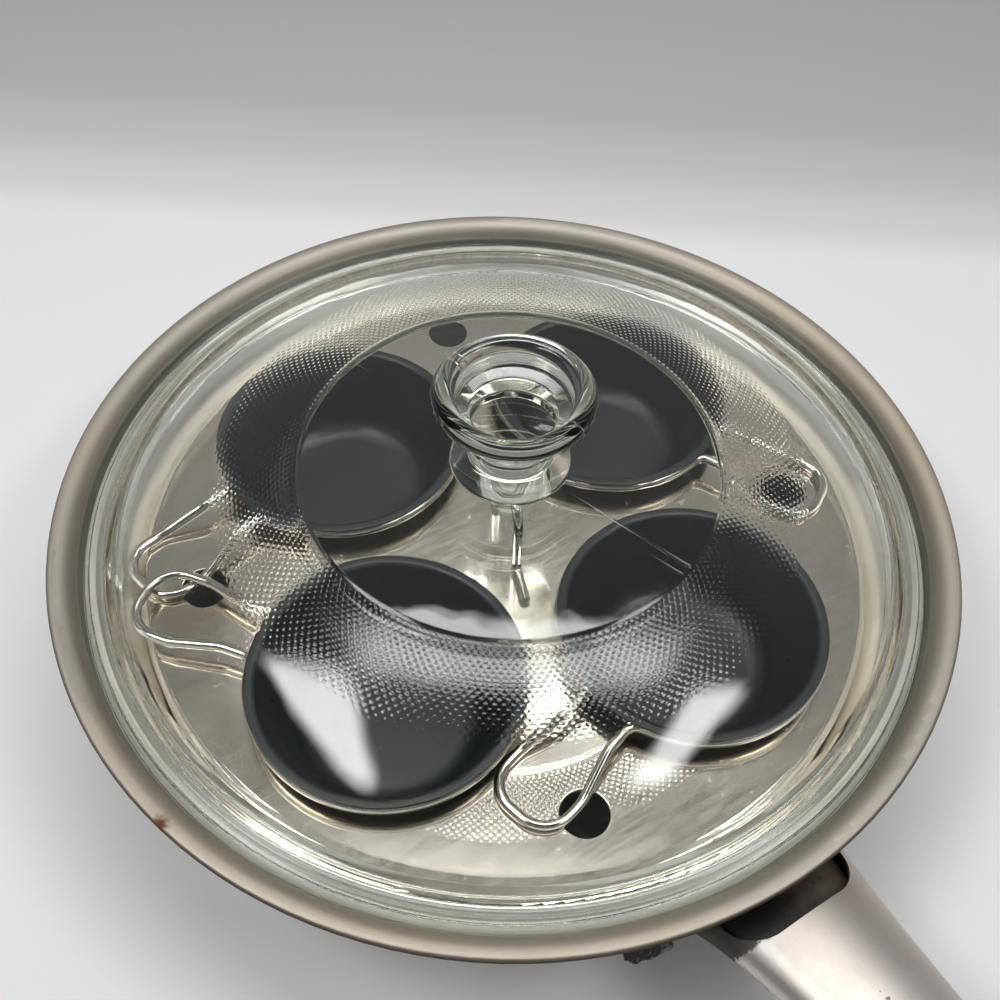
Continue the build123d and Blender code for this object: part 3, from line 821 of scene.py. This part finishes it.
def residue_faces():
    """Faces of the flake's two sides and of the strips that close them."""
    across, down = RESIDUE_CELLS
    each = (across + 1) * (down + 1)
    faces = []
    for i in range(across):
        for j in range(down):
            a, b = i * (down + 1) + j, (i + 1) * (down + 1) + j
            faces.append((a, a + 1, b + 1, b))
            faces.append((each + a, each + b, each + b + 1, each + a + 1))
        for j, turn in ((0, 1), (down, -1)):
            a, b = i * (down + 1) + j, (i + 1) * (down + 1) + j
            faces.append((a, b, each + b, each + a)[::turn])
    for i, turn in ((0, -1), (across, 1)):
        for j in range(down):
            a = i * (down + 1) + j
            faces.append((a, a + 1, each + a + 1, each + a)[::turn])
    return faces


def make_residue(material):
    """A ragged flake of burnt residue under the edge of the rim."""
    flake = finish_mesh("rim_residue_flake", residue_points(), residue_faces())
    dress(flake, material)
    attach(flake, "pan")


# Stage, lamps and camera

def make_stage():
    """The floor."""
    mesh = bpy.data.meshes.new("floor")
    signs = [(-1, -1), (1, -1), (1, 1), (-1, 1)]
    corners = [(x * FLOOR_HALF, y * FLOOR_HALF, FLOOR_Z) for x, y in signs]
    mesh.from_pydata(corners, [], [(0, 1, 2, 3)])
    floor = bpy.data.objects.new("floor", mesh)
    bpy.context.scene.collection.objects.link(floor)
    dress(floor, floor_paper())


def lamp(name, place, size, glow, left, right):
    """A lamp that faces straight down. Its sides stand where left and right say, and its edges are soft."""
    data = bpy.data.lights.new(name, "AREA")
    data.shape = "RECTANGLE"
    data.size, data.size_y = size
    data.energy = glow * pi * size[0] * size[1]
    data.use_nodes = True
    n = Nodes(data.node_tree)
    spot = n.node("ShaderNodeSeparateXYZ", {0: n.node("ShaderNodeNewGeometry").outputs["Parametric"]})
    across, away = spot.outputs[0], spot.outputs[1]
    start = n.math("MULTIPLY_ADD", away, left[1] - left[0], left[0])
    end = n.math("MULTIPLY_ADD", away, right[1] - right[0], right[0])
    from_left = n.remap(n.less(across, start), 0.0, LAMP_EDGE)
    from_right = n.remap(n.less(end, across), 0.0, LAMP_EDGE)
    ends = n.band(away, 0.0, LAMP_EDGE, 1.0 - LAMP_EDGE, 1.0)
    strength = data.node_tree.nodes["Emission"].inputs["Strength"]
    n.put(strength, n.times(n.times(from_left, from_right), ends))
    obj = bpy.data.objects.new(name, data)
    bpy.context.scene.collection.objects.link(obj)
    obj.location = (*turned(*place), LAMP_HEIGHT)
    obj.rotation_euler = (0.0, 0.0, AWAY_TURN)


def make_room():
    """Soft light from all round, by height of the direction and by how far it points away from the camera."""
    world = bpy.data.worlds.new("soft_room")
    bpy.context.scene.world = world
    world.use_nodes = True
    n = Nodes(world.node_tree)
    sky = world.node_tree.nodes["Background"]
    direction = n.node("ShaderNodeTexCoord").outputs["Generated"]
    height = n.node("ShaderNodeSeparateXYZ", {0: direction}).outputs[2]
    n.put(sky.inputs["Color"], n.ramp(height, [(place, (tone, tone, tone)) for place, tone in ROOM_TONES]))
    away = n.node("ShaderNodeVectorMath", {0: direction, 1: AWAY}, operation="DOT_PRODUCT").outputs["Value"]
    n.put(sky.inputs["Strength"], n.remap(away, *ROOM_FALL, ROOM_SIDES, 1.0))


def make_camera():
    """The camera that took the photograph."""
    data = bpy.data.cameras.new("camera")
    camera = bpy.data.objects.new("camera", data)
    bpy.context.scene.collection.objects.link(camera)
    data.lens = CAMERA_LENS_MM
    data.sensor_width = CAMERA_SENSOR_MM
    data.clip_start, data.clip_end = CAMERA_CLIP
    look = (Vector(CAMERA_AIM) - Vector(CAMERA_PLACE)).to_track_quat("-Z", "Y").to_matrix()
    rolled = look @ Matrix.Rotation(CAMERA_ROLL, 3, "Z")
    camera.matrix_world = Matrix.Translation(CAMERA_PLACE) @ rolled.to_4x4()
    bpy.context.scene.camera = camera


def dress_cad(wire, handle, coating, glass):
    """Give each node of the CAD its material."""
    looks = {
        "pan_body": pan_steel(),
        "base_cover": base_steel(),
        "base_core": core_metal(),
        "handle_bracket": stained_steel(),
        "handle_upper_shell": handle,
        "handle_lower_shell": handle,
        "hang_eyelet": wire,
        "insert_tray": tray_steel(),
        "insert_lifter": wire,
        "lid": glass,
    }
    for name in CUPS:
        looks[f"cup_wire_{name}"] = wire
        looks[f"egg_cup_{name}"] = coating
    for name, material in looks.items():
        dress(nodes[name], material)


make_camera()
make_stage()
for lamp_name, facts in LAMPS.items():
    lamp(f"lamp_{lamp_name}", *facts)
make_room()
coating, glass = nonstick(), lid_glass()
dress_cad(wire_steel(), handle_steel(), coating, glass)
for number, cup_name in enumerate(CUPS):
    make_cup(number, cup_name, coating)
make_lid(glass)
make_residue(residue())

scene = bpy.context.scene
scene.view_settings.view_transform = "Standard"
for key, value in BOUNCES.items():
    setattr(scene.cycles, key, value)
